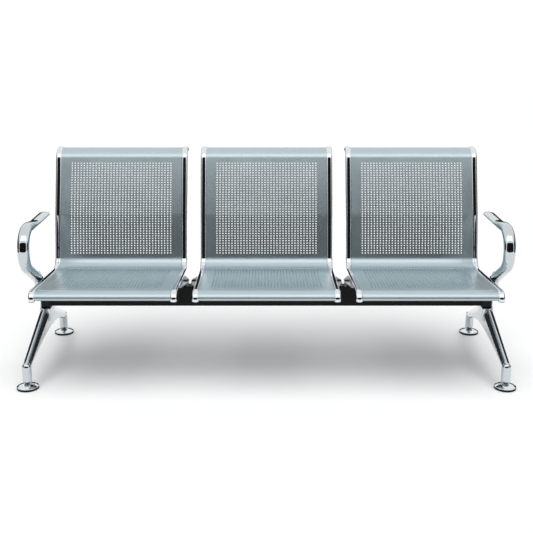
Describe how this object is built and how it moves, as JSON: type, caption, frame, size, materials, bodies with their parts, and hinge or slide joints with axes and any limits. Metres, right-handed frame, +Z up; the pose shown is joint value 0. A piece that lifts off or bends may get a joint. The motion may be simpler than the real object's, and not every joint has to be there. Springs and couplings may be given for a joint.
{
  "type": "beam seating",
  "caption": "Straight row of joined perforated metal seats on a black beam, with chromed side rails, end arm rests and arched legs on levelling feet",
  "frame": {"origin": "on the floor, in the middle of the four feet", "axes": "+Z up, +X along the beam to a sitter's left as seen from the front right, sitter faces -Y"},
  "size_m": [1.824, 0.68, 0.8035],
  "materials": {
    "shell_silver": "satin silver-grey powder coat on perforated steel sheet",
    "rail_chrome": "bright chrome plate on steel tube",
    "bar_silver": "satin silver-grey powder coat",
    "bracket_grey": "satin grey paint on pressed steel",
    "beam_black": "half-gloss black powder coat",
    "sleeve_black": "black moulded plastic",
    "plug_black": "black moulded plastic",
    "leg_chrome": "polished and chromed aluminium casting",
    "arm_chrome": "polished and chromed aluminium casting",
    "screw_dark": "blackened steel",
    "screw_bright": "bright zinc-plated steel",
    "foot_chrome": "bright chrome plate on pressed steel",
    "foot_rubber": "black rubber",
    "stem_steel": "zinc-plated steel with a cut thread",
    "nut_black": "blackened steel"
  },
  "bodies": {
    "root": {"beam": "beam_black", "seat_shell_left": "shell_silver", "side_rail_left_left": "rail_chrome", "seat_bracket_left_left": "bracket_grey", "side_rail_left_right": "rail_chrome", "seat_bracket_left_right": "bracket_grey", "front_bar_left": "bar_silver", "rear_bar_left": "bar_silver", "rail_plugs_left": "plug_black", "bracket_screws_left": "screw_dark", "seat_shell_middle": "shell_silver", "side_rail_middle_left": "rail_chrome", "seat_bracket_middle_left": "bracket_grey", "side_rail_middle_right": "rail_chrome", "seat_bracket_middle_right": "bracket_grey", "front_bar_middle": "bar_silver", "rear_bar_middle": "bar_silver", "rail_plugs_middle": "plug_black", "bracket_screws_middle": "screw_dark", "seat_shell_right": "shell_silver", "side_rail_right_left": "rail_chrome", "seat_bracket_right_left": "bracket_grey", "side_rail_right_right": "rail_chrome", "seat_bracket_right_right": "bracket_grey", "front_bar_right": "bar_silver", "rear_bar_right": "bar_silver", "rail_plugs_right": "plug_black", "bracket_screws_right": "screw_dark", "beam_plug_left": "plug_black", "beam_sleeve_left": "sleeve_black", "leg_left": "leg_chrome", "leg_screws_left": "screw_dark", "arm_rest_left": "arm_chrome", "arm_screws_left": "screw_bright", "lock_nut_front_left": "nut_black", "lock_nut_rear_left": "nut_black", "beam_plug_right": "plug_black", "beam_sleeve_right": "sleeve_black", "leg_right": "leg_chrome", "leg_screws_right": "screw_dark", "arm_rest_right": "arm_chrome", "arm_screws_right": "screw_bright", "lock_nut_front_right": "nut_black", "lock_nut_rear_right": "nut_black"},
    "foot_front_left": {"foot_cup_front_left": "foot_chrome", "foot_pad_front_left": "foot_rubber"},
    "stem_front_left": {"foot_stem_front_left": "stem_steel"},
    "foot_rear_left": {"foot_cup_rear_left": "foot_chrome", "foot_pad_rear_left": "foot_rubber"},
    "stem_rear_left": {"foot_stem_rear_left": "stem_steel"},
    "foot_front_right": {"foot_cup_front_right": "foot_chrome", "foot_pad_front_right": "foot_rubber"},
    "stem_front_right": {"foot_stem_front_right": "stem_steel"},
    "foot_rear_right": {"foot_cup_rear_right": "foot_chrome", "foot_pad_rear_right": "foot_rubber"},
    "stem_rear_right": {"foot_stem_rear_right": "stem_steel"}
  },
  "joints": [
    {"name": "level_front_left", "type": "slide", "parent": "root", "child": "foot_front_left", "axis": [0, 0, -1], "range_m": [0, 0.02]},
    {"name": "turn_front_left", "type": "hinge", "parent": "foot_front_left", "child": "stem_front_left", "pos_m": [-0.872, -0.3, 0.05], "axis": [0, 0, -1], "range_deg": [0, 4801]},
    {"name": "level_rear_left", "type": "slide", "parent": "root", "child": "foot_rear_left", "axis": [0, 0, -1], "range_m": [0, 0.02]},
    {"name": "turn_rear_left", "type": "hinge", "parent": "foot_rear_left", "child": "stem_rear_left", "pos_m": [-0.872, 0.3, 0.05], "axis": [0, 0, -1], "range_deg": [0, 4801]},
    {"name": "level_front_right", "type": "slide", "parent": "root", "child": "foot_front_right", "axis": [0, 0, -1], "range_m": [0, 0.02]},
    {"name": "turn_front_right", "type": "hinge", "parent": "foot_front_right", "child": "stem_front_right", "pos_m": [0.872, -0.3, 0.05], "axis": [0, 0, -1], "range_deg": [0, 4801]},
    {"name": "level_rear_right", "type": "slide", "parent": "root", "child": "foot_rear_right", "axis": [0, 0, -1], "range_m": [0, 0.02]},
    {"name": "turn_rear_right", "type": "hinge", "parent": "foot_rear_right", "child": "stem_rear_right", "pos_m": [0.872, 0.3, 0.05], "axis": [0, 0, -1], "range_deg": [0, 4801]}
  ],
  "couplings": [
    {"joint": "turn_front_left", "follows": "level_front_left", "rad_per_m": 4188.8},
    {"joint": "turn_rear_left", "follows": "level_rear_left", "rad_per_m": 4188.8},
    {"joint": "turn_front_right", "follows": "level_front_right", "rad_per_m": 4188.8},
    {"joint": "turn_rear_right", "follows": "level_rear_right", "rad_per_m": 4188.8}
  ]
}
